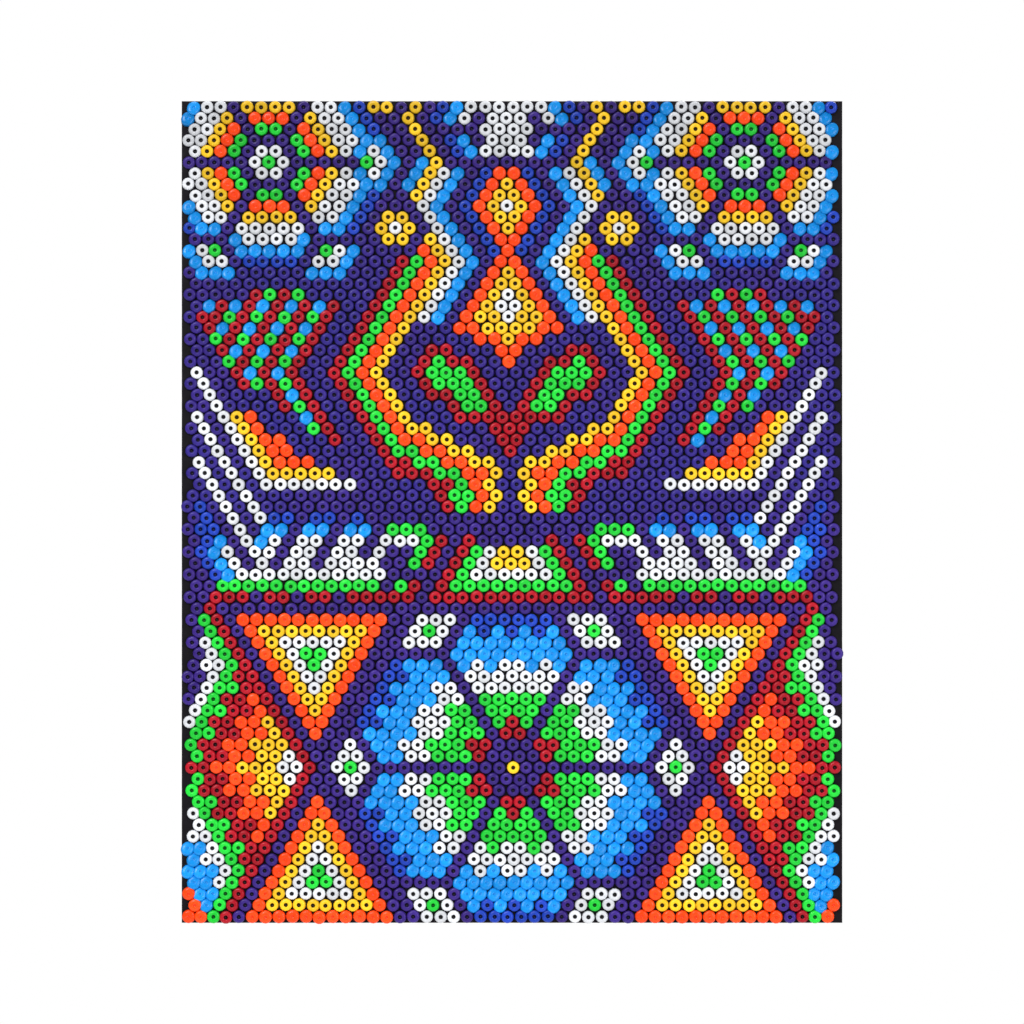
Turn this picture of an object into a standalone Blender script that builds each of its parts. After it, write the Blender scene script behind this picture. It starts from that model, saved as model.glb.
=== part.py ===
"""Huichol beaded panel: seed beads in wax on a plywood board, with a ring hanger behind.

Metres, +Z up, face towards -Y. The origin is the point where a wall hook carries the
hanging ring once the ring is turned up. Beads of one motif are modelled as one closed
field, flush with the purple ground field that surrounds it.
"""

import math

import bmesh
import bpy
from mathutils import Matrix, Vector

# Lattice of the seed beads
BEAD_LENGTH = 0.0015
COLUMN_PITCH = 0.0022
ROW_PITCH = 0.0018
TOP_ROW = 59
BOTTOM_ROW = -13
BOTTOM_DRIFT = 0.17  # columns that the mirror axis stands right of the board's middle
TOP_DRIFT = -0.42
BOTTOM_SPREAD = -0.022  # share by which the lowest row is set closer than the pitch
TOP_SPREAD = 0.018  # and by which the rows from SPREAD_ROW up are set wider
SPREAD_ROW = 35
MIDDLE_LIFT = 0.45  # rows by which the rows half way up stand high

COLUMNS_ACROSS = 48

# Board and wax
BOARD_THICKNESS = 0.006
EDGE_MARGIN = 0.0003  # around the lattice, to the board's edge
BOARD_BEVEL = 0.0004
WAX_THICKNESS = 0.0012
WAX_INSET = 0.0002

# Bead fields
GAP = 0.0003  # clearance between neighbouring pieces
GROUND_WEB = 0.0003  # what is left of the ground field under a motif
FIELD_EDGE = 0.0012  # least distance from a motif to the board's side edge

# Hanger
WIRE_RADIUS = 0.0008
RING_HALF_WIDTH = 0.007
RING_STRAIGHT = 0.003  # length of the ring's straight sides
EYE_CLEARANCE = 0.00015
EYE_SIDE_PLAY = 0.0001  # between the strap's edge and where the ring starts to bend
STRAP_THICKNESS = 0.0008
STRAP_END = 0.0045  # of the strap below the last screw's centre
PIVOT_BELOW_TOP = 0.022
SCREW_SHANK_RADIUS = 0.0011
SCREW_HEAD_RADIUS = 0.0024
SCREW_HEAD_HEIGHT = 0.0013
SCREW_TIP_WALL = 0.0015  # of board in front of a screw's tip
SCREW_SLOT = 0.0006
SCREW_SPACING = 0.007
RING_TO_SCREW = 0.0031  # from the hanging ring down to the first screw's head

ROUND_STEPS = 16

# Worked out from the values above
BOARD_WIDTH = COLUMNS_ACROSS * COLUMN_PITCH + 2 * EDGE_MARGIN
RING_CORNER = 2 * WIRE_RADIUS
STRAP_WIDTH = 2 * (RING_HALF_WIDTH - WIRE_RADIUS - RING_CORNER - EYE_SIDE_PLAY)
FIRST_SCREW_DROP = RING_HALF_WIDTH + RING_STRAIGHT + RING_TO_SCREW + SCREW_HEAD_RADIUS
SCREW_DROPS = (FIRST_SCREW_DROP, FIRST_SCREW_DROP + SCREW_SPACING)  # below the pivot
STRAP_LENGTH = SCREW_DROPS[-1] + STRAP_END
FIELD_REACH = (ROW_PITCH - GAP) / 2  # from a border bead's centre to its field's edge
EYE_RADIUS = WIRE_RADIUS + EYE_CLEARANCE + STRAP_THICKNESS
BOARD_BACK = -(EYE_RADIUS + GAP)
BOARD_FRONT = BOARD_BACK - BOARD_THICKNESS
WAX_BACK = BOARD_FRONT - GAP
WAX_FRONT = WAX_BACK - WAX_THICKNESS
GROUND_BACK = WAX_FRONT - GAP
FACE = GROUND_BACK - BEAD_LENGTH
PIVOT_HEIGHT = -(RING_HALF_WIDTH + RING_STRAIGHT - 2 * WIRE_RADIUS)
BOARD_TOP = PIVOT_HEIGHT + PIVOT_BELOW_TOP
EDGE_TO_BEAD = ROW_PITCH / 2 + EDGE_MARGIN
BOARD_HEIGHT = (TOP_ROW - BOTTOM_ROW) * ROW_PITCH + 2 * EDGE_TO_BEAD
BOARD_BOTTOM = BOARD_TOP - BOARD_HEIGHT
FIRST_ROW_HEIGHT = BOARD_BOTTOM + EDGE_TO_BEAD
STRAP_FACE = BOARD_BACK + GAP + STRAP_THICKNESS

# Motifs on the mirror axis: corner beads as (column, row), row 0 through the flower
MIDDLE_FIELDS = {
    "flower_eye": [(2, 0), (1, 2), (-1, 2), (-2, 0), (-1, -2), (1, -2)],
    "stepped_band": [(-5.5, 15), (5.5, 15), (3.5, 19), (-3.5, 19)],
    "heart": [(0, 28), (1, 30), (3.5, 31), (6.5, 35), (5.5, 37), (4.5, 37), (2.5, 35),
              (0.5, 31), (-0.5, 31), (-2.5, 35), (-4.5, 37), (-5.5, 37), (-6.5, 35),
              (-3.5, 31), (-1, 30)],
    "lower_kite": [(0.5, 45), (-0.5, 45), (-3.5, 39), (0, 36), (3.5, 39)],
    "upper_kite": [(3, 50), (1.5, 53), (-1.5, 53), (-3, 50), (-1, 46), (1, 46)],
    "crown": [(3.5, 55), (5, 58), (4.5, 59), (-4.5, 59), (-5, 58), (-3.5, 55)],
}

# Motifs repeated by turning them a sixth of a turn about the flower
TURNED_FIELDS = {
    "petal": [(-0.5, 3), (0.5, 3), (4, 10), (2.5, 13), (-2.5, 13), (-4, 10)],
    "diamond": [(11, 0), (12, 2), (13, 0), (12, -2)],
}

# Motifs that have a mirror twin on the other side of the axis
PAIRED_FIELDS = {
    "rosette": [(11, 54), (14, 48), (20, 48), (23, 54), (20.5, 59), (13.5, 59)],
    "side_bud": [(10, 54), (9, 56), (8, 54), (9, 52)],
    "inner_bud": [(13, 46), (11, 46), (12, 44), (14, 44)],
    "outer_bud": [(21, 46), (20, 44), (22, 44), (23, 46)],
    "ring_flower": [(9, 48), (8.5, 49), (7.5, 49), (7, 48), (7.5, 47), (8.5, 47)],
    "great_band": [(3.5, 53), (5, 50), (2.5, 45), (5, 40), (7.5, 39), (9.5, 35), (7.5, 31),
                   (6, 30), (1.5, 27), (1, 25), (1.5, 23), (4.5, 23), (5.5, 25), (8, 26),
                   (10, 30), (12.5, 35), (7.5, 45), (6, 46), (6, 50), (7, 52), (6, 54), (5, 54)],
    "wing": [(12.5, 41), (15.5, 35), (12.5, 29), (14, 30), (16.5, 33), (19, 34), (22, 40),
             (21.5, 41)],
    "corner": [(18.5, 31), (20.5, 31), (17.5, 25), (11.5, 25), (13, 26)],
    "comb": [(10, 16), (21, 16), (22.5, 19), (22.5, 21), (20, 22), (11, 22), (8.5, 21),
             (6.5, 21), (6, 20), (7, 18), (9.5, 17)],
    "upper_triangle": [(14.5, 3), (19.5, 13), (9.5, 13)],
    "lower_triangle": [(14.5, -3), (9.5, -13), (19.5, -13)],
    "side_star": [(15, 0), (21.5, 13), (22.5, 13), (22.5, 8), (23.5, 5), (23.5, -13),
                  (21.5, -13)],
}

# Strings one bead wide, as the path of their beads
PAIRED_STRINGS = {
    "zigzag": [(6.5, 59), (7, 58), (5.5, 55)],
    "inner_ray": [(22.5, 35), (21, 32)],
    "middle_ray": [(22.5, 31), (18.5, 23)],
    "outer_ray": [(22.5, 27), (20.5, 23)],
    "rule_line": [(22, 14), (21.5, 15), (7.5, 15)],
}

FIELD_COLOURS = {
    "flower_eye": (0.10, 0.05, 0.25), "stepped_band": (0.06, 0.62, 0.10),
    "heart": (0.42, 0.01, 0.02), "lower_kite": (0.85, 0.45, 0.03),
    "upper_kite": (0.90, 0.15, 0.02), "crown": (0.72, 0.73, 0.75),
    "petal": (0.03, 0.28, 0.70), "diamond": (0.72, 0.73, 0.75),
    "rosette": (0.72, 0.60, 0.30), "side_bud": (0.03, 0.28, 0.70),
    "inner_bud": (0.03, 0.28, 0.70), "outer_bud": (0.03, 0.28, 0.70),
    "ring_flower": (0.76, 0.54, 0.05), "great_band": (0.90, 0.25, 0.02),
    "wing": (0.42, 0.01, 0.02), "corner": (0.76, 0.54, 0.05),
    "comb": (0.72, 0.73, 0.75), "upper_triangle": (0.90, 0.12, 0.02),
    "lower_triangle": (0.90, 0.12, 0.02), "side_star": (0.55, 0.05, 0.02),
    "zigzag": (0.76, 0.54, 0.05), "inner_ray": (0.72, 0.73, 0.75),
    "middle_ray": (0.72, 0.73, 0.75), "outer_ray": (0.72, 0.73, 0.75),
    "rule_line": (0.42, 0.01, 0.02),
}


def clear_scene():
    for item in list(bpy.data.objects):
        bpy.data.objects.remove(item, do_unlink=True)


def material(name, colour, roughness, metallic=0.0):
    made = bpy.data.materials.get(name) or bpy.data.materials.new(name)
    made.use_nodes = True
    shader = made.node_tree.nodes["Principled BSDF"]
    shader.inputs["Base Color"].default_value = (*colour, 1.0)
    shader.inputs["Roughness"].default_value = roughness
    shader.inputs["Metallic"].default_value = metallic
    return made


def add_object(name, shape, finish):
    """Turns a bmesh into a named object with its own material."""
    bmesh.ops.recalc_face_normals(shape, faces=shape.faces)
    mesh = bpy.data.meshes.new(name)
    shape.to_mesh(mesh)
    shape.free()
    made = bpy.data.objects.new(name, mesh)
    bpy.context.collection.objects.link(made)
    if finish:
        mesh.materials.append(finish)
    return made


def hide_cutter(cutter):
    cutter.hide_render = True
    cutter.display_type = "WIRE"


def add_difference(target, cutter_name):
    modifier = target.modifiers.new("cut_" + cutter_name, "BOOLEAN")
    modifier.operation = "DIFFERENCE"
    modifier.solver = "EXACT"
    return modifier


def cut(target, cutter):
    hide_cutter(cutter)
    add_difference(target, cutter.name).object = cutter


def cut_together(target, cutters):
    """Cuts all the shapes of a collection out of the target at once."""
    modifier = add_difference(target, cutters.name)
    modifier.operand_type = "COLLECTION"
    modifier.collection = cutters


def box(low, high):
    shape = bmesh.new()
    size = [high[i] - low[i] for i in range(3)]
    middle = [(high[i] + low[i]) / 2 for i in range(3)]
    place = Matrix.Translation(middle) @ Matrix.Diagonal((*size, 1))
    bmesh.ops.create_cube(shape, size=1.0, matrix=place)
    return shape


def bead_place(column, row):
    """Where the bead at this column and row sits on the board, as (x, z)."""
    climb = (row - BOTTOM_ROW) / (TOP_ROW - BOTTOM_ROW)
    drift = BOTTOM_DRIFT + (TOP_DRIFT - BOTTOM_DRIFT) * climb
    widening = min((row - BOTTOM_ROW) / (SPREAD_ROW - BOTTOM_ROW), 1)
    spread = BOTTOM_SPREAD + (TOP_SPREAD - BOTTOM_SPREAD) * widening ** 2 * (3 - 2 * widening)
    lift = MIDDLE_LIFT * (1 - (2 * climb - 1) ** 2)
    across = COLUMN_PITCH * (1 + spread) * (column + drift)
    return across, FIRST_ROW_HEIGHT + ROW_PITCH * (row - BOTTOM_ROW + lift)


def sixth_turn(corner):
    """Turns a corner bead by a sixth of a turn about the middle of the flower."""
    column, row = corner
    return column / 2 - 3 * row / 4, column + row / 2


def signed_area(points):
    return sum(a[0] * b[1] - b[0] * a[1] for a, b in zip(points, points[1:] + points[:1])) / 2


def grown(points, reach):
    """A closed outline moved outwards by reach, corners kept sharp."""
    if signed_area(points) < 0:
        points = points[::-1]
    outline = []
    for before, corner, after in zip(points[-1:] + points[:-1], points, points[1:] + points[:1]):
        corner = Vector(corner)
        first = (corner - Vector(before)).normalized()
        second = (Vector(after) - corner).normalized()
        outward = Vector((first.y, -first.x)) + Vector((second.y, -second.x))
        outline.append(corner + outward * reach / (1 + first.dot(second)))
    return outline


def string_outline(points, reach):
    """The outline of a path widened by reach on both sides and past both ends."""
    path = [Vector(point) for point in points]
    path[0] += (path[0] - path[1]).normalized() * reach
    path[-1] += (path[-1] - path[-2]).normalized() * reach
    sides = ([], [])
    for index, corner in enumerate(path):
        before = max(index, 1)
        after = min(index, len(path) - 2)
        first = (path[before] - path[before - 1]).normalized()
        second = (path[after + 1] - path[after]).normalized()
        across = Vector((first.y, -first.x)) + Vector((second.y, -second.x))
        across *= reach / (1 + first.dot(second))
        sides[0].append(corner + across)
        sides[1].append(corner - across)
    return sides[0] + sides[1][::-1]


def inside_edges(outline, extra):
    """The outline with corners past the side margin brought back to it."""
    limit = BOARD_WIDTH / 2 - FIELD_EDGE + extra
    return [(max(-limit, min(limit, x)), z) for x, z in outline]


def slab(outline, back, front):
    """A flat closed slab with this (x, z) outline between two depths."""
    shape = bmesh.new()
    corners = [shape.verts.new((x, back, z)) for x, z in outline]
    face = shape.faces.new(corners)
    raised = bmesh.ops.extrude_face_region(shape, geom=[face])["geom"]
    moved = [item for item in raised if isinstance(item, bmesh.types.BMVert)]
    bmesh.ops.translate(shape, verts=moved, vec=(0, front - back, 0))
    return shape


def add_field(pockets, name, colour_name, beads, widen):
    """One motif's field of beads, and its pocket in the ground field."""
    places = [bead_place(column, row) for column, row in beads]
    finish = material(name + "_glass", FIELD_COLOURS[colour_name], 0.25)
    outline = inside_edges(widen(places, FIELD_REACH), 0)
    pocket = inside_edges(widen(places, FIELD_REACH + GAP), GAP)
    pocket_back = GROUND_BACK - GROUND_WEB
    add_object(name, slab(outline, pocket_back - GAP, FACE), finish)
    cutter = add_object(name + "_pocket", slab(pocket, pocket_back, FACE - BEAD_LENGTH), None)
    hide_cutter(cutter)
    pockets.objects.link(cutter)


def mirrored(beads):
    return [(-column, row) for column, row in beads]


def build_fields(ground):
    pockets = bpy.data.collections.new("pockets")
    for name, beads in MIDDLE_FIELDS.items():
        add_field(pockets, name + "_beads", name, beads, grown)
    for name, beads in TURNED_FIELDS.items():
        for number in range(1, 7):
            add_field(pockets, f"{name}_beads_{number}", name, beads, grown)
            beads = [sixth_turn(corner) for corner in beads]
    for name, beads in PAIRED_FIELDS.items():
        add_field(pockets, f"right_{name}_beads", name, beads, grown)
        add_field(pockets, f"left_{name}_beads", name, mirrored(beads), grown)
    for name, beads in PAIRED_STRINGS.items():
        add_field(pockets, f"right_{name}_beads", name, beads, string_outline)
        add_field(pockets, f"left_{name}_beads", name, mirrored(beads), string_outline)
    cut_together(ground, pockets)


def build_board():
    half = BOARD_WIDTH / 2
    shape = box((-half, BOARD_FRONT, BOARD_BOTTOM), (half, BOARD_BACK, BOARD_TOP))
    board = add_object("backing_board", shape, material("plywood", (0.50, 0.33, 0.18), 0.7))
    bevel = board.modifiers.new("eased_edges", "BEVEL")
    bevel.width = BOARD_BEVEL
    bevel.segments = 1
    return board


def build_wax():
    half = BOARD_WIDTH / 2 - WAX_INSET
    low = (-half, WAX_FRONT, BOARD_BOTTOM + WAX_INSET)
    high = (half, WAX_BACK, BOARD_TOP - WAX_INSET)
    return add_object("wax_coat", box(low, high), material("beeswax", (0.010, 0.008, 0.009), 0.4))


def build_ground():
    half = BOARD_WIDTH / 2
    shape = box((-half, FACE, BOARD_BOTTOM), (half, GROUND_BACK, BOARD_TOP))
    return add_object("ground_beads", shape, material("ground_glass", (0.05, 0.03, 0.19), 0.3))


def cylinder(radius, back, front, height):
    """A round bar along Y at x = 0, from one depth to another, at this height."""
    shape = bmesh.new()
    turn = Matrix.Rotation(math.pi / 2, 4, "X")
    place = Matrix.Translation((0, (back + front) / 2, height)) @ turn
    bmesh.ops.create_cone(shape, cap_ends=True, segments=ROUND_STEPS, radius1=radius,
                          radius2=radius, depth=abs(front - back), matrix=place)
    return shape


def arc(radius, start, end, steps):
    """Points (y, z) on an arc about the pivot, angles in degrees from +Y towards +Z."""
    angles = [math.radians(start + (end - start) * step / steps) for step in range(steps + 1)]
    return [(radius * math.cos(a), PIVOT_HEIGHT + radius * math.sin(a)) for a in angles]


def build_strap():
    """A steel strap, flat on the board, whose top is rolled into an eye for the ring."""
    bottom = PIVOT_HEIGHT - STRAP_LENGTH
    flat_back = BOARD_BACK + GAP
    outer = arc(EYE_RADIUS, 180, -40, ROUND_STEPS)
    root = PIVOT_HEIGHT - EYE_RADIUS * math.sin(math.radians(40)) - STRAP_THICKNESS
    profile = [(flat_back, bottom), *outer, (STRAP_FACE, root), (STRAP_FACE, bottom)]
    shape = bmesh.new()
    half = STRAP_WIDTH / 2
    corners = [shape.verts.new((-half, y, z)) for y, z in profile]
    raised = bmesh.ops.extrude_face_region(shape, geom=[shape.faces.new(corners)])["geom"]
    moved = [item for item in raised if isinstance(item, bmesh.types.BMVert)]
    bmesh.ops.translate(shape, verts=moved, vec=(STRAP_WIDTH, 0, 0))
    steel = material("zinc_plated_steel", (0.60, 0.60, 0.58), 0.35, 1.0)
    strap = add_object("hanger_strap", shape, steel)

    bore = bmesh.new()
    sideways = Matrix.Translation((0, 0, PIVOT_HEIGHT)) @ Matrix.Rotation(math.pi / 2, 4, "Y")
    bmesh.ops.create_cone(bore, cap_ends=True, segments=ROUND_STEPS, depth=2 * STRAP_WIDTH,
                          radius1=WIRE_RADIUS + EYE_CLEARANCE,
                          radius2=WIRE_RADIUS + EYE_CLEARANCE, matrix=sideways)
    cut(strap, add_object("eye_bore", bore, None))
    return strap


def ring_path():
    """The ring's wire centre line: a bar in the eye, two straight sides and a half circle."""
    half = RING_HALF_WIDTH - WIRE_RADIUS
    straight = half - RING_CORNER
    points = []
    for side in (1, -1):
        turn = [(side * (straight + RING_CORNER * math.sin(a)), RING_CORNER * (math.cos(a) - 1))
                for a in (0, math.pi / 6, math.pi / 3, math.pi / 2)]
        points.append(turn)
    sweep = [math.pi * step / 12 for step in range(13)]
    bow = [(half * math.cos(a), -RING_STRAIGHT - half * math.sin(a)) for a in sweep]
    return points[0] + bow + points[1][::-1]


def build_ring():
    """A wire D ring, hanging down from the eye, with its origin on the pivot."""
    path = [Vector((x, 0, z)) for x, z in ring_path()]
    count = len(path)
    shape = bmesh.new()
    loops = []
    for index, centre in enumerate(path):
        ahead = (path[(index + 1) % count] - path[index - 1]).normalized()
        across = ahead.cross(Vector((0, 1, 0)))
        loop = []
        for step in range(8):
            angle = 2 * math.pi * (step + 0.5) / 8
            offset = across * math.cos(angle) + Vector((0, 1, 0)) * math.sin(angle)
            loop.append(shape.verts.new(centre + offset * WIRE_RADIUS))
        loops.append(loop)
    for index, loop in enumerate(loops):
        following = loops[(index + 1) % count]
        for step in range(8):
            after = (step + 1) % 8
            shape.faces.new((loop[step], loop[after], following[after], following[step]))
    ring = add_object("hanging_ring", shape, material("ring_wire", (0.62, 0.62, 0.60), 0.3, 1.0))
    ring.location = (0, 0, PIVOT_HEIGHT)
    ring.data.shade_smooth()
    return ring


def build_screw(number, drop, board, strap):
    """A slotted wood screw and the holes it needs in the strap and the board."""
    height = PIVOT_HEIGHT - drop
    head_back = STRAP_FACE + GAP
    head_face = head_back + SCREW_HEAD_HEIGHT
    tip = BOARD_FRONT + SCREW_TIP_WALL
    shape = bmesh.new()
    profile = [(0, tip), (SCREW_SHANK_RADIUS, tip), (SCREW_SHANK_RADIUS, head_back),
               (SCREW_HEAD_RADIUS, head_back), (SCREW_HEAD_RADIUS, head_face - SCREW_SLOT),
               (SCREW_HEAD_RADIUS - SCREW_SLOT, head_face), (0, head_face)]
    chain = [shape.verts.new((radius, y, 0)) for radius, y in profile]
    edges = [shape.edges.new(pair) for pair in zip(chain, chain[1:])]
    bmesh.ops.spin(shape, geom=chain + edges, axis=(0, 1, 0), cent=(0, 0, 0),
                   angle=2 * math.pi, steps=ROUND_STEPS, use_merge=True)
    bmesh.ops.remove_doubles(shape, verts=shape.verts, dist=1e-6)
    bmesh.ops.translate(shape, verts=shape.verts, vec=(0, 0, height))
    steel = material("screw_steel", (0.55, 0.54, 0.50), 0.3, 1.0)
    screw = add_object(f"hanger_screw_{number}", shape, steel)
    slot = box((-2 * SCREW_HEAD_RADIUS, head_face - SCREW_SLOT, height - SCREW_SLOT / 2),
               (2 * SCREW_HEAD_RADIUS, head_face + SCREW_SLOT, height + SCREW_SLOT / 2))
    cut(screw, add_object(f"screw_{number}_slot", slot, None))
    hole = SCREW_SHANK_RADIUS + GAP
    through = cylinder(hole, tip - GAP, STRAP_FACE + GAP, height)
    bore = add_object(f"screw_{number}_bore", through, None)
    cut(board, bore)
    cut(strap, bore)


def build():
    clear_scene()
    board = build_board()
    build_wax()
    ground = build_ground()
    build_fields(ground)
    strap = build_strap()
    build_ring()
    for number, drop in enumerate(SCREW_DROPS, 1):
        build_screw(number, drop, board, strap)


build()
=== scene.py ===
"""Looks of a Huichol beaded panel: glass seed beads pressed in dark wax on plywood."""

import math
import random

import bmesh
import bpy
import numpy as np
from mathutils import Matrix, Vector


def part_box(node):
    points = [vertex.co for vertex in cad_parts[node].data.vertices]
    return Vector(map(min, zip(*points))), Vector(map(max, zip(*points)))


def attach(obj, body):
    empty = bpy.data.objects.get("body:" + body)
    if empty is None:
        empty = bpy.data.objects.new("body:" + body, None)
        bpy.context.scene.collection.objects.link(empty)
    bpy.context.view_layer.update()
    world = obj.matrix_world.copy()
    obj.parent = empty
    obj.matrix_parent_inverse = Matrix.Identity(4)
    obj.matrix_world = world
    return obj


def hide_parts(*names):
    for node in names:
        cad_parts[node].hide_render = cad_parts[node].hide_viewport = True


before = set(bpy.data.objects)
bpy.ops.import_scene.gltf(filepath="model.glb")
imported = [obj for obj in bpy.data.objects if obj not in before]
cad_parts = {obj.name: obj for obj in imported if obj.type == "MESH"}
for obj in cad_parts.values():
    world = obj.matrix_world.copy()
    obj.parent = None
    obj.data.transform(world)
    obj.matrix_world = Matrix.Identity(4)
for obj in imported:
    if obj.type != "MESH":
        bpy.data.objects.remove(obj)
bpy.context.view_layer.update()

# Lattice, as in the CAD model: row 0 runs through the flower, column 0 is the mirror axis
TOP_ROW = 59
BOTTOM_ROW = -13
COLUMNS_ACROSS = 48
EDGE_MARGIN = 0.0003
BOTTOM_DRIFT = 0.17  # columns that the mirror axis stands right of the middle
TOP_DRIFT = -0.42
BOTTOM_SPREAD = -0.022  # share by which the lowest row is set closer than the pitch
TOP_SPREAD = 0.018  # and by which the rows from SPREAD_ROW up are set wider
SPREAD_ROW = 35
MIDDLE_LIFT = 0.45  # rows by which the rows half way up stand high

GROUND_LOW, GROUND_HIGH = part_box("ground_beads")
HALF_WIDTH = GROUND_HIGH[0]
FACE = GROUND_LOW[1]
ROWS = TOP_ROW - BOTTOM_ROW + 1
COLUMN_PITCH = (2 * HALF_WIDTH - 2 * EDGE_MARGIN) / COLUMNS_ACROSS
ROW_PITCH = (GROUND_HIGH[2] - GROUND_LOW[2] - 2 * EDGE_MARGIN) / ROWS

# One bead, and how unlike its neighbours it may be
BEAD_RADIUS = 0.00104
BEAD_LENGTH = GROUND_HIGH[1] - FACE
BEAD_SIDES = 14
HOLE_DEPTH = 0.00045
SHALLOW_HOLE = 0.00012  # in the beads whose glass glows through the hole
SIZE_SPREAD = 0.025
PLACE_SPREAD = 0.00004
SINK_SPREAD = 0.00016
TILT = 4.0  # degrees
SKY_LEAN = 14.0  # the light blue beads all lean up and to the right
SKY_STRETCH = 1.13  # and are that much longer than wide
TOP_PAINTED_SHADE = 0.72  # painted shade: the glass is darkened towards the top, by this factor
CROWDING = 0.0006  # the most that a row is squeezed to keep its last bead on the board
CROWDED_BEADS = 5  # how many beads share that squeeze

# Wax and board
WAX_LEVEL = 0.00075  # of the wax between beads, behind the bead faces
WAX_GRID = (190, 234)  # steps across and up in the wax's lumpy face
PLY_PAIRS = 3  # light and dark pairs of plies seen on the board's edges

# Rows where the pattern or its colours change
GROUND_BANDS = 4  # level bands that the ground's beads are split into
WING_BEND = 35  # the wings' stripes lean the other way below this row
PAINTED_SHADE_FROM_ROW = 25  # the painted shade darkens the glass from here up
INDIGO_ROWS = (18, 44)  # the purple beads start to turn blue, and start to turn back
INDIGO_FADES = (6, 8)  # how many rows each of those two changes takes

# Colour letters used by the pattern rules
COLOURS = {"p": "purple", "d": "deep_blue", "b": "sky_blue", "w": "white",
           "y": "yellow", "o": "orange", "g": "green", "r": "red"}

random_source = random.Random(7)


# The bead pattern --------------------------------------------------------------------


def paint(beads, colour, column, row, count=1, across=1.0, up=0):
    """Lays a straight string of beads, each one step further than the last."""
    for step in range(count):
        beads[column + across * step, row + up * step] = colour


def ribbon(beads, column, row, colours):
    """Lays one row of beads from column towards the mirror axis."""
    for step, colour in enumerate(colours):
        beads[column - step, row] = colour


def sixth_turn(column, row):
    return column / 2 - 3 * row / 4, column + row / 2


def turned(beads, sixths):
    """The same beads turned by sixths of a turn about column 0, row 0."""
    for _ in range(sixths):
        beads = {sixth_turn(*place): colour for place, colour in beads.items()}
    return beads


def shifted(beads, column, row):
    return {(c + column, r + row): colour for (c, r), colour in beads.items()}


def hexagon_side(beads, ring, place, colour):
    """One bead on the upper side of a hexagon, place 0 to ring - 1 from the right corner."""
    beads[ring / 2 - place, ring] = colour


def flower_eye():
    beads = {(0, 0): "y"}
    for ring in (1, 2):
        for place in range(ring):
            for sixths in range(6):
                upper = {}
                hexagon_side(upper, ring, place, "p")
                beads.update(turned(upper, sixths))
    return beads


def petal_colour(ring, place):
    inward = min(place, ring - place)
    if ring == 3 or (ring == 4 and place == 2):
        return "r"
    if ring < 7 or (ring == 7 and inward == 2):
        return "g"
    if ring < 9 or (ring == 9 and inward % 2 == 0):
        return "w"
    if ring > 10 and inward <= ring - 10:
        return None
    if ring == 13 or (ring == 12 and place % 2 == 0):
        return "d"
    return "b"


def petal(sixths):
    beads = {}
    for ring in range(3, 14):
        for place in range(1, ring):
            if petal_colour(ring, place):
                hexagon_side(beads, ring, place, petal_colour(ring, place))
    if sixths == 0:
        paint(beads, "w", -2.5, 7, 6)
    return turned(beads, sixths)


def ring_of_six(beads, column, row, colour):
    for sixths in range(6):
        beads.update(shifted(turned({(1, 0): colour}, sixths), column, row))


def diamond(sixths):
    beads = {(12, 0): "g", (12, 2): "w", (12, -2): "w"}
    ring_of_six(beads, 12, 0, "w")
    return turned(beads, sixths)


def nested_triangle(side):
    """A triangle with its tip towards row 0, coloured by the depth from its nearest side."""
    beads = {}
    for row in range(3, 14):
        count = row - 2
        for step in range(count):
            depth = min(13 - row, step, count - 1 - step)
            beads[14.5 - (count - 1) / 2 + step, side * row] = "oywg"[min(depth, 3)]
    return beads


def star_colour(row, depth):
    """Colour in the side star; depth counts beads outward from its red edge."""
    height = abs(row)
    green = 10 if height == 0 else max(10 - 2 * math.ceil(height / 2), 1)
    greens = 1 if height > 8 or height % 2 == 0 else 2
    whites = 0 if height > 11 or row == -11 else 2 if row in (9, -6, -8) else 1
    if depth == 0:
        return "r"
    if row > 13:
        return "p"
    if depth < green:
        if depth == 1 and height < 2 or (depth == 2 and row == 0):
            return "w"
        return "y" if depth < green - 4 else "o" if depth < green - 2 else "r"
    if depth < green + greens:
        return "g"
    if depth < green + greens + whites:
        return "w"
    if row <= -11 and depth >= row + 15:
        return "o"
    return "b" if row <= -7 else "p"


def side_star():
    beads = {}
    for row in range(BOTTOM_ROW, 15):
        edge = 15 + abs(row) / 2
        for depth in range(10):
            beads[edge + depth, row] = star_colour(row, depth)
    return beads


def stepped_band():
    beads = {}
    for row, colours in ((15, "rrrrrr"), (16, "rggggg"), (17, "rgwww"), (18, "rgwyy"),
                         (19, "rgwy"), (20, "r")):
        ribbon(beads, 5 - (row - 16) / 2 if row > 15 else 5.5, row, colours)
    return beads


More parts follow.
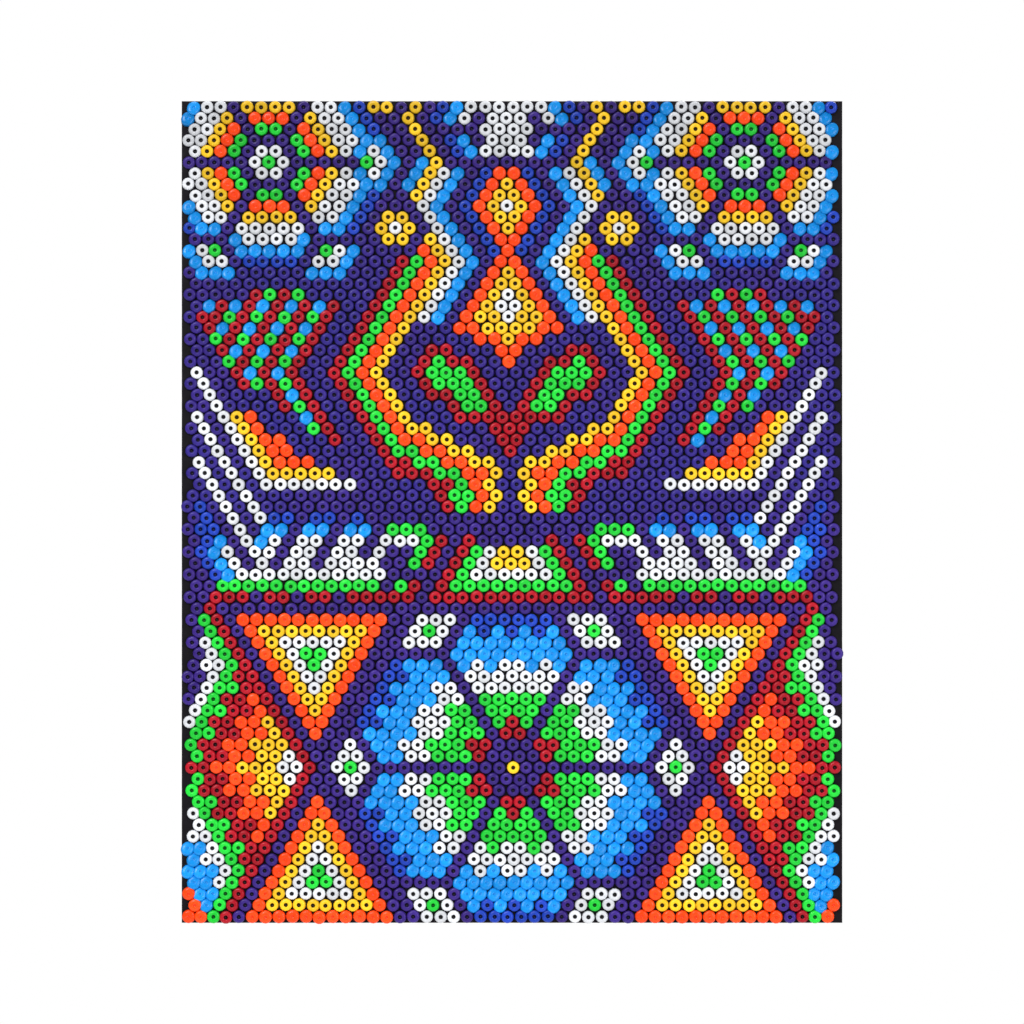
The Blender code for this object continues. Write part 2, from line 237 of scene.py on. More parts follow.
def comb():
    beads = {}
    paint(beads, "g", 10, 16, 12)
    paint(beads, "w", 9.5, 17, 11)
    paint(beads, "w", 10, 18, 4)
    paint(beads, "w", 7, 20, 3)
    paint(beads, "w", 9.5, 19)
    for tooth in range(3):
        paint(beads, "w", 12 + 3 * tooth, 18, 2 if tooth < 2 else 1)
        paint(beads, "w", 11.5 + 3 * tooth, 19, 2)
        paint(beads, "w", 11 + 3 * tooth, 20, 2)
        paint(beads, "b", 10.5 + 3 * tooth, 21, 2)
        paint(beads, "d", 10 + 3 * tooth, 22, 2)
    paint(beads, "p", 10, 22)
    paint(beads, "b", 18, 20)
    paint(beads, "w", 20, 18, 2, 0.5, 1)
    paint(beads, "b", 20.5, 17, 2, 0.5, 1)
    paint(beads, "b", 21.5, 19, 2, -0.5, 1)
    paint(beads, "d", 21.5, 17, 3, 0.5, 1)
    paint(beads, "d", 22, 20)
    paint(beads, "d", 21.5, 21, 3, 0.5, 1)
    paint(beads, "d", 22.5, 21)
    paint(beads, "g", 6.5, 21, 3)
    paint(beads, "g", 6, 20, 3, 0.5, -1)
    paint(beads, "g", 8, 16)
    paint(beads, "r", 5, 20, 3, 0.5, -1)
    paint(beads, "r", 7, 16)
    return beads


def rule_line():
    """A red string, broken by three purple beads, that runs out to the side star's tip."""
    beads = {(22, 14): "r"}
    paint(beads, "r", 7.5, 15, 15)
    paint(beads, "p", 12.5, 15, 3, 3)
    return beads


def ray(rise, first_row, last_row, colour="w"):
    """A slanting string that leans out half a column for each row."""
    beads = {}
    paint(beads, colour, rise + first_row / 2, first_row, last_row - first_row + 1, 0.5, 1)
    return beads


def corner():
    """A filled corner: white along its two edges, then yellow, then orange."""
    beads = ray(3, 27, 31, "o")
    paint(beads, "o", 14.5, 27, 2)
    paint(beads, "o", 16, 28, 2, 0.5, 1)
    beads.update(ray(4, 27, 31, "y"))
    paint(beads, "y", 13, 26, 5)
    beads.update(ray(5, 26, 31))
    paint(beads, "w", 11.5, 25, 7)
    return beads


def wing_colour(column, row):
    """Red on every other slanting string, which lean the other way below the bend."""
    if row < WING_BEND:
        red = (column - row / 2) % 2 == 0
    else:
        red = (column + row / 2) % 2 == 1
    if red:
        return "r"
    return "g" if row % 2 == 0 else "b"


def wing():
    """Slanting stripes: red strings between strings of green and blue beads in turn."""
    beads = {}
    spans = {42: (15, 18), 41: (12.5, 21.5), 34: (15, 19), 33: (14.5, 16.5), 32: (14, 16),
             31: (13.5, 14.5), 30: (13, 14), 29: (12.5, 12.5)}
    for row in range(WING_BEND, 41):
        spans[row] = (33 - row / 2, 2 + row / 2)
    for row, (first, last) in spans.items():
        for step in range(int(last - first) + 1):
            beads[first + step, row] = wing_colour(first + step, row)
    beads[22, 40] = "r"
    return beads


def longer_stripes():
    """The beads by which the right wing's stripes run on further than the left wing's."""
    return {(17.5, 33): "b", (17, 32): "g", (15.5, 31): "r", (15, 30): "r", (13.5, 29): "b"}


def great_band():
    """The figure's outline: red, green, orange and yellow, with white and sky blue inside."""
    beads = {}
    for row in range(31, 46):
        start = 7.5 + (45 - row) / 2 if row > 34 else 12 - (34 - row) / 2
        ribbon(beads, start, row, "rgoywb" if row > 39 else "rgoy")
    for row, colours in ((30, "rgoyy"), (29, "rgooyy"), (28, "rggooyy")):
        ribbon(beads, row / 2 - 5, row, colours)
    ribbon(beads, 8.5, 27, "rrggooyy")
    ribbon(beads, 8, 26, "rrrggooy")
    ribbon(beads, 5.5, 25, "rrgoy")
    ribbon(beads, 5, 24, "rggoy")
    ribbon(beads, 4.5, 23, "rgoy")
    ribbon(beads, 6, 46, "oywb")
    ribbon(beads, 5.5, 47, "ywb")
    for row in range(48, 54):
        column = 6 - abs(row - 50) / 2
        ribbon(beads, column, row, "wb")
    paint(beads, "y", 5, 54, 4, 0.5, -1)
    paint(beads, "b", 6, 54, 3, 0.5, -1)
    return beads


def zigzag():
    beads = {(6.5, 59): "y"}
    paint(beads, "y", 7, 58, 4, -0.5, -1)
    return beads


def heart():
    beads = {}
    rows = {37: (5.5, "rr"), 36: (6, "rgrr"), 35: (6.5, "rgggr"), 34: (6, "rgggr"),
            33: (5.5, "rrggr"), 32: (4, "rggr"), 31: (3.5, "rrrr"), 30: (1, "rr"),
            29: (0.5, "r"), 28: (0, "r")}
    for row, (column, colours) in rows.items():
        ribbon(beads, column, row, colours)
    return beads


def lower_kite():
    beads = {}
    for row in range(40, 46):
        outer = 0.5 + (45 - row) / 2
        colours = "oyyw" if row == 40 else "oyw"
        ribbon(beads, outer, row, colours[:int(outer) + 1])
    ribbon(beads, 3.5, 39, "ooyy")
    ribbon(beads, 2, 38, "ooy")
    paint(beads, "o", 0.5, 37, 2, -0.5, -1)
    return beads


def upper_kite():
    beads = {}
    for row in range(46, 54):
        start = row % 2 / 2
        for column in (start + step for step in range(4)):
            depth = int(column + abs(row - 50) / 2)
            if depth < 4:
                beads[column, row] = "wyod"[depth]
    return beads


def crown():
    beads = {}
    paint(beads, "w", 0.5, 59, 3)
    paint(beads, "b", 3.5, 59, 2, 0.5, -1)
    paint(beads, "d", 4.5, 59, 2, 0.5, -1)
    paint(beads, "w", 0, 58, 2)
    paint(beads, "w", 3, 58)
    paint(beads, "w", 0.5, 57, 2)
    paint(beads, "w", 0, 56, 2)
    paint(beads, "w", 0.5, 55, 2)
    paint(beads, "b", 3, 56, 2, -0.5, -1)
    paint(beads, "d", 4, 56, 2, -0.5, -1)
    return beads


def rosette_colour(ring, place):
    if ring == 2 or place % ring == 0:
        return "p"
    if ring < 7:
        return {3: "g", 4: "o", 5: "y", 6: "w"}[ring]
    if ring == 7:
        return "b" if place in (1, 6) else "w"
    if ring == 8:
        return "b" if 2 <= place <= 6 else "p"
    return "d" if 3 <= place <= 6 else "p"


def rosette():
    beads = {(0, 0): "g"}
    ring_of_six(beads, 0, 0, "w")
    for ring in range(2, 10):
        for place in range(ring):
            side = {}
            hexagon_side(side, ring, place, rosette_colour(ring, place))
            for sixths in range(6):
                beads.update(turned(side, sixths))
    kept = {place: colour for place, colour in beads.items() if colour != "p" or abs(place[1]) < 6}
    return shifted(kept, 17, 54)


def side_bud():
    beads = {(10, 54): "g"}
    paint(beads, "w", 9.5, 55, 2, -0.5, -1)
    paint(beads, "w", 9.5, 53)
    paint(beads, "b", 9, 56, 3, -0.5, -1)
    paint(beads, "b", 8.5, 53, 2, 0.5, -1)
    return beads


def bud():
    """A small flower cut short by the rosette: green, white round it, then sky blue."""
    beads = {(0, 0): "g", (-1, 0): "w", (0.5, -1): "w", (-0.5, -1): "w"}
    paint(beads, "b", 1, -2, 3, -1)
    return beads


def inner_bud():
    beads = bud()
    paint(beads, "b", -2, 0, 2, 0.5, -1)
    return shifted(beads, 13, 46)


def outer_bud():
    beads = {(-column, row): colour for (column, row), colour in bud().items()}
    paint(beads, "b", 2, 0, 2, -0.5, -1)
    return shifted({**beads, (-0.5, -1): "w"}, 21, 46)


def ring_flower():
    beads = {(8, 48): "w"}
    ring_of_six(beads, 8, 48, "y")
    return beads


def ground():
    """The purple ground, with two beads of a flower that the top edge cuts off."""
    beads = {}
    for row in range(BOTTOM_ROW, TOP_ROW + 1):
        paint(beads, "p", row % 2 / 2, row, COLUMNS_ACROSS // 2 + 1)
    paint(beads, "y", 8.5, 59, 2)
    return beads


def mirrored(beads):
    return {(-column, row): colour for (column, row), colour in beads.items()}


def bead_chart():
    """Each bead's place (column, row) with its field and its colour letter."""
    whole = ground()
    chart = {place: ("ground", colour) for place, colour in {**whole, **mirrored(whole)}.items()}
    pairs = {"rosette": rosette(), "side_bud": side_bud(), "inner_bud": inner_bud(),
             "outer_bud": outer_bud(), "ring_flower": ring_flower(), "great_band": great_band(),
             "wing": wing(), "corner": corner(), "comb": comb(), "zigzag": zigzag(),
             "upper_triangle": nested_triangle(1), "lower_triangle": nested_triangle(-1),
             "side_star": side_star(), "inner_ray": ray(5, 32, 35),
             "middle_ray": ray(7, 22, 31), "outer_ray": ray(9, 20, 27), "rule_line": rule_line()}
    for name, beads in pairs.items():
        for side, half in (("right", beads), ("left", mirrored(beads))):
            chart.update({place: (f"{side}_{name}", colour) for place, colour in half.items()})
    chart.update({place: ("right_wing", colour) for place, colour in longer_stripes().items()})
    middle = {"stepped_band": stepped_band(), "heart": heart(), "lower_kite": lower_kite(),
              "upper_kite": upper_kite(), "crown": crown()}
    for name, beads in middle.items():
        chart.update({place: (name, colour) for place, colour in {**mirrored(beads), **beads}.items()})
    for sixths in range(6):
        for name, beads in (("petal", petal(sixths)), ("diamond", diamond(sixths))):
            field = f"{name}_{sixths + 1}"
            chart.update({place: (field, colour) for place, colour in beads.items()})
    chart.update({place: ("flower_eye", colour) for place, colour in flower_eye().items()})
    return chart


# Materials -----------------------------------------------------------------------------


def linear(colour):
    """A colour given in screen values, 0 to 255, as linear light."""
    return tuple((part / 255 / 12.92) if part < 11 else ((part / 255 + 0.055) / 1.055) ** 2.4
                 for part in colour)


class Nodes:
    """Shorthand for building one material's node tree."""

    def __init__(self, name):
        self.material = bpy.data.materials.new(name)
        self.material.use_nodes = True
        self.tree = self.material.node_tree
        self.shader = self.tree.nodes["Principled BSDF"]

    def add(self, kind, **settings):
        node = self.tree.nodes.new(kind)
        for key, value in settings.items():
            setattr(node, key, value)
        return node

    def link(self, source, target):
        self.tree.links.new(source, target)

    def set(self, node, **values):
        for key, value in values.items():
            node.inputs[key.replace("_", " ")].default_value = value

    def place(self):
        return self.add("ShaderNodeTexCoord").outputs["Object"]

    def noise(self, scale, detail=3.0, stretch=(1, 1, 1)):
        mapping = self.add("ShaderNodeMapping")
        mapping.inputs["Scale"].default_value = stretch
        self.link(self.place(), mapping.inputs["Vector"])
        texture = self.add("ShaderNodeTexNoise")
        texture.inputs["Scale"].default_value = scale
        texture.inputs["Detail"].default_value = detail
        self.link(mapping.outputs["Vector"], texture.inputs["Vector"])
        return texture.outputs["Fac"]

    def attribute(self, name):
        return self.add("ShaderNodeAttribute", attribute_name=name).outputs["Fac"]

    def spread(self, source, low, high, start=0.0, end=1.0):
        """Maps a value from start..end to low..high."""
        node = self.add("ShaderNodeMapRange")
        self.link(source, node.inputs["Value"])
        self.set(node, From_Min=start, From_Max=end, To_Min=low, To_Max=high)
        return node.outputs["Result"]

    def mix(self, share, first, second, blend="MIX"):
        """Mixes two colours, each a socket or three numbers."""
        node = self.add("ShaderNodeMix", data_type="RGBA", blend_type=blend)
        for value, socket in ((share, node.inputs["Factor"]), (first, node.inputs["A"]),
                              (second, node.inputs["B"])):
            self.feed(value, socket)
        return node.outputs["Result"]

    def feed(self, value, socket):
        if isinstance(value, bpy.types.NodeSocket):
            self.link(value, socket)
        elif isinstance(value, tuple):
            socket.default_value = (*value, 1.0)
        else:
            socket.default_value = value

    def bump(self, height, strength, distance):
        node = self.add("ShaderNodeBump")
        self.set(node, Strength=strength, Distance=distance)
        self.link(height, node.inputs["Height"])
        self.link(node.outputs["Normal"], self.shader.inputs["Normal"])


class Glass:
    """One colour of bead: its screen colours, its gloss and the shape of its hole. The hole's colour is
    darker: the black wax at its floor, with painted shade down its walls.
    """

    def __init__(self, surface, hole_colour, roughness, hole=0.27, size=1.0, depth=HOLE_DEPTH):
        self.surface = linear(surface)
        self.hole_colour = linear(hole_colour)
        self.roughness = roughness
        self.hole = hole
        self.size = size
        self.depth = depth


# Each second colour is the hole's: the black wax at its floor, with painted shade down its walls
GLASS = {
    "p": Glass((50, 28, 116), (14, 8, 30), 0.36),
    "d": Glass((24, 60, 172), (8, 14, 56), 0.32),
    "b": Glass((14, 138, 220), (14, 126, 206), 0.24, 0.18, 1.05, SHALLOW_HOLE),
    "w": Glass((214, 216, 220), (9, 8, 12), 0.32, 0.29, 0.99),
    "y": Glass((238, 190, 30), (40, 22, 8), 0.30, 0.28),
    "o": Glass((255, 68, 8), (240, 56, 8), 0.30, 0.20, 1.04, SHALLOW_HOLE),
    "g": Glass((28, 200, 54), (6, 92, 26), 0.30, 0.25, 1.02),
    "r": Glass((162, 6, 28), (36, 2, 8), 0.32, 0.27),
}
INDIGO = linear((40, 34, 124))


def bead_glass(letter):
    """Opaque glass: a darker hole (the black wax at its floor, with painted shade down its walls), a
    slightly different tone on each bead, fire polish.
    """
    glass = GLASS[letter]
    nodes = Nodes(f"{COLOURS[letter]}_glass")
    tone = nodes.attribute("tone")
    base = glass.surface
    light = tuple(min(part * 1.16 + 0.003, 1.0) for part in base)
    dark = tuple(part * 0.80 for part in base)
    colour = nodes.mix(tone, dark, light)
    if letter == "p":
        colour = nodes.mix(indigo_share(nodes), colour, INDIGO)
    mottle = nodes.spread(nodes.noise(2600, 2), 0.90, 1.08, 0.3, 0.7)
    colour = nodes.mix(1.0, colour, grey(nodes, mottle), "MULTIPLY")
    # Painted shade: the glass is darkened from that row to the top row, standing in for less light
    # falling up there
    painted_shade_from = bead_place(0, PAINTED_SHADE_FROM_ROW)[1]
    painted_shade_factor = nodes.spread(height(nodes), 1.0, TOP_PAINTED_SHADE, painted_shade_from, bead_place(0, TOP_ROW)[1])
    colour = nodes.mix(1.0, colour, grey(nodes, painted_shade_factor), "MULTIPLY")
    # Painted shade: the hole's walls and floor take the darker hole colour, for the black wax inside
    # and the shade in the hole
    depth = nodes.spread(nodes.attribute("depth"), 0.0, 1.0, 0.25, 0.80)
    colour = nodes.mix(depth, colour, glass.hole_colour)
    nodes.link(colour, nodes.shader.inputs["Base Color"])
    rough = glass.roughness
    gloss = nodes.spread(nodes.noise(1500, 3), rough * 0.75, rough * 1.35, 0.3, 0.7)
    nodes.link(gloss, nodes.shader.inputs["Roughness"])
    nodes.set(nodes.shader, IOR=1.50)
    nodes.set(nodes.shader, Coat_Weight=0.05, Coat_Roughness=0.12, Specular_IOR_Level=0.20)
    nodes.bump(nodes.noise(1900, 2), 0.25, 0.00004)
    return nodes.material


def height(nodes):
    """The height up the panel, in metres."""
    split = nodes.add("ShaderNodeSeparateXYZ")
    nodes.link(nodes.place(), split.inputs["Vector"])
    return split.outputs["Z"]


def grey(nodes, value):
    node = nodes.add("ShaderNodeCombineColor")
    for channel in ("Red", "Green", "Blue"):
        nodes.link(value, node.inputs[channel])
    return node.outputs["Color"]


def indigo_share(nodes):
    """How blue the purple beads are: most across the middle rows, with soft ends."""
    low, high = (bead_place(0, row)[1] for row in INDIGO_ROWS)
    rise = nodes.spread(height(nodes), 0.0, 1.0, low, low + INDIGO_FADES[0] * ROW_PITCH)
    fall = nodes.spread(height(nodes), 1.0, 0.0, high, high + INDIGO_FADES[1] * ROW_PITCH)
    both = nodes.add("ShaderNodeMath", operation="MULTIPLY")
    nodes.link(rise, both.inputs[0])
    nodes.link(fall, both.inputs[1])
    patchy = nodes.add("ShaderNodeMath", operation="MULTIPLY")
    nodes.link(both.outputs[0], patchy.inputs[0])
    nodes.link(nodes.spread(nodes.noise(90, 2), 0.15, 0.75, 0.35, 0.65), patchy.inputs[1])
    return patchy.outputs[0]


def wax_material():
    """Dark beeswax and resin: nearly black, matt, with small lumps from pressing."""
    nodes = Nodes("dark_wax")
    colour = nodes.mix(nodes.noise(400), linear((5, 4, 7)), linear((17, 13, 20)))
    nodes.link(colour, nodes.shader.inputs["Base Color"])
    nodes.set(nodes.shader, Specular_IOR_Level=0.12)
    nodes.link(nodes.spread(nodes.noise(900), 0.45, 0.75), nodes.shader.inputs["Roughness"])
    nodes.bump(nodes.noise(1300, 4), 0.5, 0.0001)
    return nodes.material


def plywood_material():
    """Raw birch plywood: upright grain on the faces and thin crossed plies on the edges."""
    nodes = Nodes("birch_plywood")
    grain = nodes.noise(700, 5, (1, 1, 0.05))
    fibres = nodes.noise(4200, 3, (1, 1, 0.04))
    broad = nodes.noise(60, 3, (1, 1, 0.35))
    dark, light = linear((176, 134, 88)), linear((212, 176, 128))
    colour = nodes.mix(nodes.spread(grain, 0, 1, 0.3, 0.7), dark, light)
    colour = nodes.mix(1.0, colour, grey(nodes, nodes.spread(fibres, 0.80, 1.05, 0.3, 0.7)), "MULTIPLY")
    colour = nodes.mix(1.0, colour, grey(nodes, nodes.spread(broad, 0.86, 1.08, 0.3, 0.7)), "MULTIPLY")
    edge = nodes.mix(plies(nodes), linear((150, 108, 66)), linear((204, 166, 116)))
    edge = nodes.mix(1.0, edge, grey(nodes, nodes.spread(nodes.noise(2600, 3), 0.75, 1.08)), "MULTIPLY")
    colour = nodes.mix(on_edge(nodes), colour, edge)
    nodes.link(colour, nodes.shader.inputs["Base Color"])
    nodes.link(nodes.spread(fibres, 0.60, 0.88), nodes.shader.inputs["Roughness"])
    nodes.bump(fibres, 0.35, 0.0001)
    return nodes.material


def plies(nodes):
    """Alternates through the board's thickness, once for each pair of plies."""
    low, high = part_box("backing_board")
    split = nodes.add("ShaderNodeSeparateXYZ")
    nodes.link(nodes.place(), split.inputs["Vector"])
    turns = nodes.spread(split.outputs["Y"], 0.0, 2 * math.pi * PLY_PAIRS, low[1], high[1])
    wave = nodes.add("ShaderNodeMath", operation="SINE")
    nodes.link(turns, wave.inputs[0])
    return nodes.spread(wave.outputs[0], 0.0, 1.0, -0.35, 0.35)


def on_edge(nodes):
    """1 on faces that look sideways, up or down, and 0 on the board's back and front."""
    geometry = nodes.add("ShaderNodeNewGeometry")
    split = nodes.add("ShaderNodeSeparateXYZ")
    nodes.link(geometry.outputs["True Normal"], split.inputs["Vector"])
    size = nodes.add("ShaderNodeMath", operation="ABSOLUTE")
    nodes.link(split.outputs["Y"], size.inputs[0])
    return nodes.spread(size.outputs[0], 1.0, 0.0, 0.45, 0.55)


def plated_steel(name, tint, stretch):
    """Zinc-plated steel: fine drawing marks, blotchy plating and scuffs."""
    nodes = Nodes(name)
    blotch = nodes.noise(260, 4)
    colour = nodes.mix(blotch, linear(tint), tuple(part * 0.62 for part in linear(tint)))
    nodes.link(colour, nodes.shader.inputs["Base Color"])
    nodes.set(nodes.shader, Metallic=1.0)
    marks = nodes.noise(2200, 3, stretch)
    nodes.link(nodes.spread(marks, 0.22, 0.48, 0.3, 0.7), nodes.shader.inputs["Roughness"])
    nodes.bump(marks, 0.2, 0.00005)
    return nodes.material


# Beads -----------------------------------------------------------------------------------


def bead_place(column, row):
    """Where this bead sits on the panel, as (x, z)."""
    climb = (row - BOTTOM_ROW) / (TOP_ROW - BOTTOM_ROW)
    drift = BOTTOM_DRIFT + (TOP_DRIFT - BOTTOM_DRIFT) * climb
    widening = min((row - BOTTOM_ROW) / (SPREAD_ROW - BOTTOM_ROW), 1)
    spread = BOTTOM_SPREAD + (TOP_SPREAD - BOTTOM_SPREAD) * widening ** 2 * (3 - 2 * widening)
    lift = MIDDLE_LIFT * (1 - (2 * climb - 1) ** 2)
    across = COLUMN_PITCH * (1 + spread) * (column + drift)
    return across, GROUND_LOW[2] + EDGE_MARGIN + ROW_PITCH * (row - BOTTOM_ROW + 0.5 + lift)


def bead_profile(glass):
    """(radius, y, depth in the hole) round one bead, from the hole's floor to the back."""
    hole = glass.hole * BEAD_RADIUS
    return [(hole * 0.9, glass.depth, 1.0), (hole, glass.depth * 0.4, 0.9),
            (hole * 1.25, glass.depth * 0.18, 0.35), (hole * 1.7, 0.0, 0.0),
            (0.78 * BEAD_RADIUS, 0.00003, 0.0), (0.91 * BEAD_RADIUS, 0.00013, 0.0),
            (0.985 * BEAD_RADIUS, 0.00034, 0.0), (BEAD_RADIUS, 0.00062, 0.0),
            (0.96 * BEAD_RADIUS, BEAD_LENGTH - 0.0002, 0.0),
            (0.80 * BEAD_RADIUS, BEAD_LENGTH - 0.00003, 0.0)]


def bead_template(glass):
    """Points, depths and faces of one bead whose face lies at y = 0, its back at +y."""
    points = []
    depths = []
    profile = bead_profile(glass)
    for radius, y, depth in profile:
        for step in range(BEAD_SIDES):
            angle = 2 * math.pi * step / BEAD_SIDES
            points.append((radius * math.cos(angle), y, radius * math.sin(angle)))
            depths.append(depth)
    faces = [tuple(range(BEAD_SIDES))]
    for ring in range(len(profile) - 1):
        for step in range(BEAD_SIDES):
            after = (step + 1) % BEAD_SIDES
            low = ring * BEAD_SIDES
            high = low + BEAD_SIDES
            faces.append((low + step, high + step, high + after, low + after))
    last = (len(profile) - 1) * BEAD_SIDES
    faces.append(tuple(last + step for step in reversed(range(BEAD_SIDES))))
    return np.array(points), depths, faces


def bead_turn(colour):
    """A random spin and a slight tilt, as a 3 by 3 matrix, with a little random size."""
    lean = SKY_LEAN if colour == "b" else 0.0
    longer = Matrix.Scale(SKY_STRETCH if colour == "b" else 1.0, 3, Vector((1, 0, 1.6)).normalized())
    spin = Matrix.Rotation(random_source.uniform(0, 2 * math.pi), 3, "Y")
    tip = Matrix.Rotation(math.radians(random_source.gauss(-lean, TILT / 2)), 3, "X")
    swing = Matrix.Rotation(math.radians(random_source.gauss(lean / 2, TILT / 2)), 3, "Z")
    size = GLASS[colour].size * (1 + random_source.uniform(-SIZE_SPREAD, SIZE_SPREAD / 2))
    return np.array(swing @ tip @ longer @ spin) * size


def side_limit():
    """The farthest that a bead's centre may stand from the board's middle."""
    return HALF_WIDTH - BEAD_RADIUS * (1 + SIZE_SPREAD)


def fits_on_board(column, row):
    return abs(bead_place(column, row)[0]) <= side_limit() + CROWDING


def squeezed(x):
    """Moves a bead near the board's side inwards, with its neighbours, to stay on it."""
    reach = CROWDED_BEADS * COLUMN_PITCH
    start = side_limit() - reach
    share = min(max((abs(x) - start) / (reach + CROWDING), 0.0), 1.0)
    return math.copysign(abs(x) - CROWDING * share ** 2, x)


def set_bead(template, column, row, colour):
    """This bead's points, moved to its place and held inside the panel's box."""
    points = template @ bead_turn(colour).T
    x, z = bead_place(column, row)
    x = squeezed(x) + random_source.gauss(0, PLACE_SPREAD)
    z += random_source.gauss(0, PLACE_SPREAD)
    sink = random_source.uniform(0, SINK_SPREAD) - points[:, 1].min()
    moved = points + np.array((x, FACE + sink, z))
    moved[:, 0] -= max(moved[:, 0].max() - HALF_WIDTH, 0.0)
    moved[:, 0] += max(-HALF_WIDTH - moved[:, 0].min(), 0.0)
    moved[:, 1] = np.minimum(moved[:, 1], GROUND_HIGH[1])
    return moved


def build_seeds(name, beads, glasses):
    """One mesh with all beads of a field, one material slot for each of its colours."""
    letters = sorted(set(beads.values()))
    templates = {letter: bead_template(GLASS[letter]) for letter in letters}
    _, depths, faces = templates[letters[0]]
    points = []
    loops = []
    slots = []
    tones = []
    for number, ((column, row), colour) in enumerate(sorted(beads.items())):
        points.append(set_bead(templates[colour][0], column, row, colour))
        first = number * len(depths)
        loops.extend(tuple(first + index for index in face) for face in faces)
        slots.extend([letters.index(colour)] * len(faces))
        tones.extend([random_source.random()] * len(depths))
    mesh = bpy.data.meshes.new(name)
    mesh.from_pydata(np.concatenate(points).tolist(), [], loops)
    mesh.polygons.foreach_set("material_index", slots)
    mesh.polygons.foreach_set("use_smooth", [True] * len(slots))
    for key, values in (("tone", tones), ("depth", depths * len(beads))):
        mesh.attributes.new(key, "FLOAT", "POINT").data.foreach_set("value", values)
    for letter in letters:
        mesh.materials.append(glasses[letter])
    mesh.update()
    seeds = bpy.data.objects.new(name, mesh)
    bpy.context.collection.objects.link(seeds)
    return seeds


def group_by_field(chart):
    """The beads that fit on the board, by field; the ground is split into level bands."""
    fields = {}
    for (column, row), (field, colour) in chart.items():
        if row < BOTTOM_ROW or row > TOP_ROW or not fits_on_board(column, row):
            continue
        if field == "ground":
            band = (row - BOTTOM_ROW) * GROUND_BANDS // ROWS + 1
            field = f"ground_{band}"
        fields.setdefault(field, {})[column, row] = colour
    return fields


def build_beads():
    glasses = {letter: bead_glass(letter) for letter in COLOURS}
    for field, beads in sorted(group_by_field(bead_chart()).items()):
        parts = field.rsplit("_", 1)
        numbered = parts[-1].isdigit()
        node = f"{parts[0]}_beads_{parts[1]}" if numbered else f"{field}_beads"
        node = "ground_beads" if field.startswith("ground") else node
        seeds = build_seeds(f"{field}_seeds", beads, glasses)
        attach(seeds, "panel")
        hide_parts(node)


# Wax, board and hanger -------------------------------------------------------------------


def grid_slab(name, low, high, steps, wobble):
    """A closed slab whose -Y face is a grid; wobble gives each grid point's y offset."""
    shape = bmesh.new()
    across, up = steps
    front = [[shape.verts.new((low[0] + (high[0] - low[0]) * i / across, low[1],
                               low[2] + (high[2] - low[2]) * j / up))
              for i in range(across + 1)] for j in range(up + 1)]
    for j in range(up):
        for i in range(across):
            shape.faces.new((front[j][i], front[j][i + 1], front[j + 1][i + 1], front[j + 1][i]))
    raised = bmesh.ops.extrude_face_region(shape, geom=shape.faces[:])["geom"]
    backs = [item for item in raised if isinstance(item, bmesh.types.BMVert)]
    for vert in backs:
        vert.co.y = high[1]
    for row in front:
        for vert in row:
            vert.co.y += wobble(vert.co.x, vert.co.z)
    bmesh.ops.recalc_face_normals(shape, faces=shape.faces)
    mesh = bpy.data.meshes.new(name)
    shape.to_mesh(mesh)
    shape.free()
    mesh.shade_smooth()
    mesh.set_sharp_from_angle(angle=math.radians(40))
    slab = bpy.data.objects.new(name, mesh)
    bpy.context.collection.objects.link(slab)
    return slab


def wax_lumps(x, z):
    """How far the wax stands back here, a few tenths of a millimetre at most."""
    waves = math.sin(2300 * x + 3 * math.sin(410 * z)) * math.sin(2700 * z + 2 * math.sin(530 * x))
    slow = math.sin(160 * x + 1) * math.cos(130 * z)
    return 0.00007 * (1 + waves) + 0.00004 * (1 + slow)


def build_wax():
    """The wax, raised between the beads and filled in to the board that it sticks to."""
    low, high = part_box("wax_coat")
    board_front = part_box("backing_board")[0][1]
    front_corner = (low[0], FACE + WAX_LEVEL, low[2])
    back_corner = (high[0], board_front, high[2])
    wax = grid_slab("wax_bed", front_corner, back_corner, WAX_GRID, wax_lumps)
    wax.data.materials.append(wax_material())
    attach(wax, "panel")
    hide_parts("wax_coat")


def dress(node, material):
    """Gives a CAD node its finished material."""
    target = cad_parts[node]
    for index in range(len(target.data.materials)):
        target.data.materials[index] = material
    if not target.data.materials:
        target.data.materials.append(material)


def build_board():
    dress("backing_board", plywood_material())


def build_hanger():
    dress("hanger_strap", plated_steel("strap_plating", (198, 200, 202), (1, 1, 0.05)))
    dress("hanging_ring", plated_steel("ring_plating", (206, 206, 204), (0.2, 1, 1)))
    screws = plated_steel("screw_plating", (196, 186, 150), (1, 1, 1))
    for number in (1, 2):
        dress(f"hanger_screw_{number}", screws)


# Stage -----------------------------------------------------------------------------------

FRAME_WIDTH = 0.1638  # width of what the camera takes in at the panel
LENS = 135.0
SENSOR = 36.0
FLOOR_DROP = 0.2
FLOOR_RADIUS = 0.9
WORLD_STRENGTH = 0.28


def build_camera():
    middle = [(low + high) / 2 for low, high in zip(GROUND_LOW, GROUND_HIGH)]
    data = bpy.data.cameras.new("camera")
    data.lens = LENS
    data.sensor_width = SENSOR
    camera = bpy.data.objects.new("camera", data)
    bpy.context.collection.objects.link(camera)
    camera.location = (middle[0], FACE - FRAME_WIDTH * LENS / SENSOR, middle[2])
    camera.rotation_euler = (math.pi / 2, 0, 0)
    bpy.context.scene.camera = camera


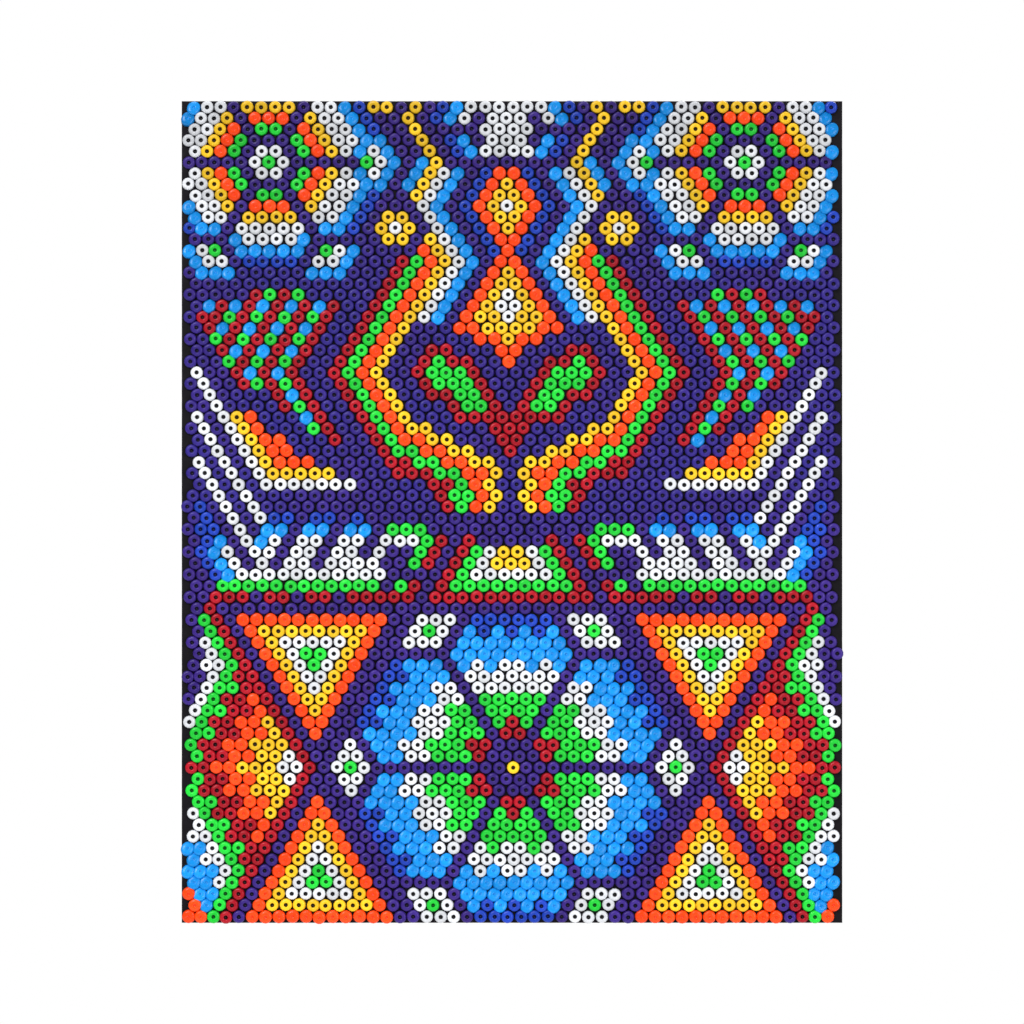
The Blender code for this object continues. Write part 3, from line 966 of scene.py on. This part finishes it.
def build_floor():
    shape = bmesh.new()
    bmesh.ops.create_circle(shape, cap_ends=True, segments=96, radius=FLOOR_RADIUS,
                            matrix=Matrix.Translation((0, 0, GROUND_LOW[2] - FLOOR_DROP)))
    mesh = bpy.data.meshes.new("floor")
    shape.to_mesh(mesh)
    shape.free()
    nodes = Nodes("pale_floor")
    nodes.link(nodes.mix(nodes.noise(30), (0.90, 0.90, 0.89), (0.94, 0.94, 0.93)),
               nodes.shader.inputs["Base Color"])
    nodes.set(nodes.shader, Roughness=0.8)
    mesh.materials.append(nodes.material)
    floor = bpy.data.objects.new("floor", mesh)
    bpy.context.collection.objects.link(floor)


def area_light(name, place, size, power):
    data = bpy.data.lights.new(name, "AREA")
    data.shape = "DISK"
    data.size = size
    data.energy = power
    light = bpy.data.objects.new(name, data)
    bpy.context.collection.objects.link(light)
    light.location = place
    aim = Vector((0, FACE, (GROUND_LOW[2] + GROUND_HIGH[2]) / 2)) - Vector(place)
    light.rotation_euler = aim.to_track_quat("-Z", "Y").to_euler()


def build_world():
    """White behind the object, and a softer grey light from all round."""
    world = bpy.data.worlds.new("studio")
    world.use_nodes = True
    bpy.context.scene.world = world
    tree = world.node_tree
    tree.nodes.clear()
    seen = tree.nodes.new("ShaderNodeBackground")
    seen.inputs["Color"].default_value = (1, 1, 1, 1)
    lit = tree.nodes.new("ShaderNodeBackground")
    lit.inputs["Color"].default_value = (0.92, 0.95, 1, 1)
    lit.inputs["Strength"].default_value = WORLD_STRENGTH
    path = tree.nodes.new("ShaderNodeLightPath")
    mix = tree.nodes.new("ShaderNodeMixShader")
    out = tree.nodes.new("ShaderNodeOutputWorld")
    tree.links.new(path.outputs["Is Camera Ray"], mix.inputs["Fac"])
    tree.links.new(lit.outputs[0], mix.inputs[1])
    tree.links.new(seen.outputs[0], mix.inputs[2])
    tree.links.new(mix.outputs[0], out.inputs["Surface"])


def build_stage():
    build_camera()
    build_floor()
    build_world()
    area_light("key", (-0.35, -0.75, 0.45), 0.45, 6.8)
    area_light("fill", (0.55, -0.7, 0.1), 0.5, 3.2)
    area_light("back", (0.4, 0.7, 0.5), 0.5, 5.0)
    area_light("top", (0.0, -0.1, 1.1), 0.8, 9.0)
    bpy.context.scene.view_settings.view_transform = "Standard"


build_beads()
build_wax()
build_board()
build_hanger()
build_stage()
